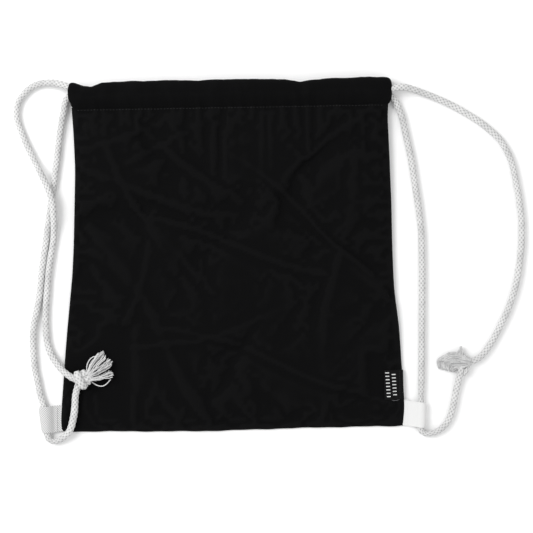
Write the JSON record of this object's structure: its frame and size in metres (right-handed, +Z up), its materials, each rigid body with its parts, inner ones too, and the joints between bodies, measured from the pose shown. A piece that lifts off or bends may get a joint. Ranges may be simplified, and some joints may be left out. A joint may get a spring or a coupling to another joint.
{
  "type": "drawstring backpack",
  "caption": "Flat canvas drawstring backpack with two rope drawcords that close the mouth and serve as shoulder straps, through webbing tabs, ending in frayed knots.",
  "frame": {"origin": "middle of the back, on the flat face the bag rests on", "axes": "+X to the right as seen from the front, across the straps; +Y along the bag towards its mouth; +Z up, out of the front panel"},
  "size_m": [0.5641, 0.4039, 0.022],
  "materials": {
    "canvas": "matt black plain-weave cotton canvas",
    "black_thread": "black sewing thread",
    "tab_thread": "pale sewing thread",
    "tab_webbing": "white woven webbing",
    "label": "black woven satin ribbon",
    "rope": "white braided cotton rope",
    "frayed_yarn": "loose white cotton yarn"
  },
  "bodies": {
    "pouch": {"rear_panel": "canvas", "front_panel": "canvas", "bottom_seam": "canvas", "front_casing": "canvas", "rear_casing": "canvas", "front_casing_stitching": "black_thread", "rear_casing_stitching": "black_thread", "left_drawcord_casing_run": "rope", "right_drawcord_casing_run": "rope"},
    "left_side": {"left_side_seam": "canvas"},
    "right_side": {"right_side_seam": "canvas"},
    "side_label": {"side_label": "label", "label_stitching": "black_thread"},
    "left_strap": {"left_tab": "tab_webbing", "left_tab_stitching": "tab_thread", "left_cord_rear_strand": "rope", "left_cord_upper_loop": "rope"},
    "left_knot_loop": {"left_cord_knot_strand": "rope", "left_cord_tail": "rope", "left_knot": "rope"},
    "left_tassel": {"left_tassel": "frayed_yarn"},
    "right_strap": {"right_tab": "tab_webbing", "right_tab_stitching": "tab_thread", "right_cord_front_strand": "rope", "right_cord_rear_strand": "rope", "right_cord_tail": "rope", "right_knot": "rope"},
    "right_tassel": {"right_tassel": "frayed_yarn"}
  },
  "joints": [
    {"name": "left_cinch", "type": "hinge", "parent": "pouch", "child": "left_side", "pos_m": [-0.19, -0.193, 0], "axis": [0, 0, -1], "range_deg": [0, 16], "deforming": ["front_panel", "rear_panel", "front_casing", "rear_casing", "front_casing_stitching", "rear_casing_stitching", "left_drawcord_casing_run", "right_drawcord_casing_run"]},
    {"name": "right_cinch", "type": "hinge", "parent": "pouch", "child": "right_side", "pos_m": [0.19, -0.193, 0], "axis": [0, 0, 1], "range_deg": [0, 16]},
    {"name": "label_flip", "type": "hinge", "parent": "right_side", "child": "side_label", "pos_m": [0.1878, -0.147, 0.0052], "axis": [0, 1, 0], "range_deg": [0, 150]},
    {"name": "right_strap_lift", "type": "hinge", "parent": "right_side", "child": "right_strap", "pos_m": [0.1908, -0.193, 0.0023], "axis": [0.0283, -0.9994, -0.0211], "range_deg": [0, 120]},
    {"name": "right_tassel_swing", "type": "hinge", "parent": "right_strap", "child": "right_tassel", "pos_m": [0.2563, -0.1258, 0.0074], "axis": [0, 0, 1], "range_deg": [-20, 20]},
    {"name": "left_strap_lift", "type": "hinge", "parent": "left_side", "child": "left_strap", "pos_m": [-0.1908, -0.193, 0.0023], "axis": [0.0521, 0.9984, 0.0211], "range_deg": [0, 90]},
    {"name": "left_knot_turn", "type": "hinge", "parent": "left_strap", "child": "left_knot_loop", "pos_m": [-0.2049, -0.1957, 0.0047], "axis": [0.0475, 0.9987, 0.0199], "range_deg": [-108, 0]},
    {"name": "left_tassel_swing", "type": "hinge", "parent": "left_knot_loop", "child": "left_tassel", "pos_m": [-0.1662, -0.1356, 0.014], "axis": [0, 0, 1], "range_deg": [-30, 30]}
  ],
  "couplings": [
    {"joint": "right_cinch", "follows": "left_cinch", "ratio": 1},
    {"joint": "left_knot_turn", "follows": "left_strap_lift", "ratio": -1.2}
  ]
}
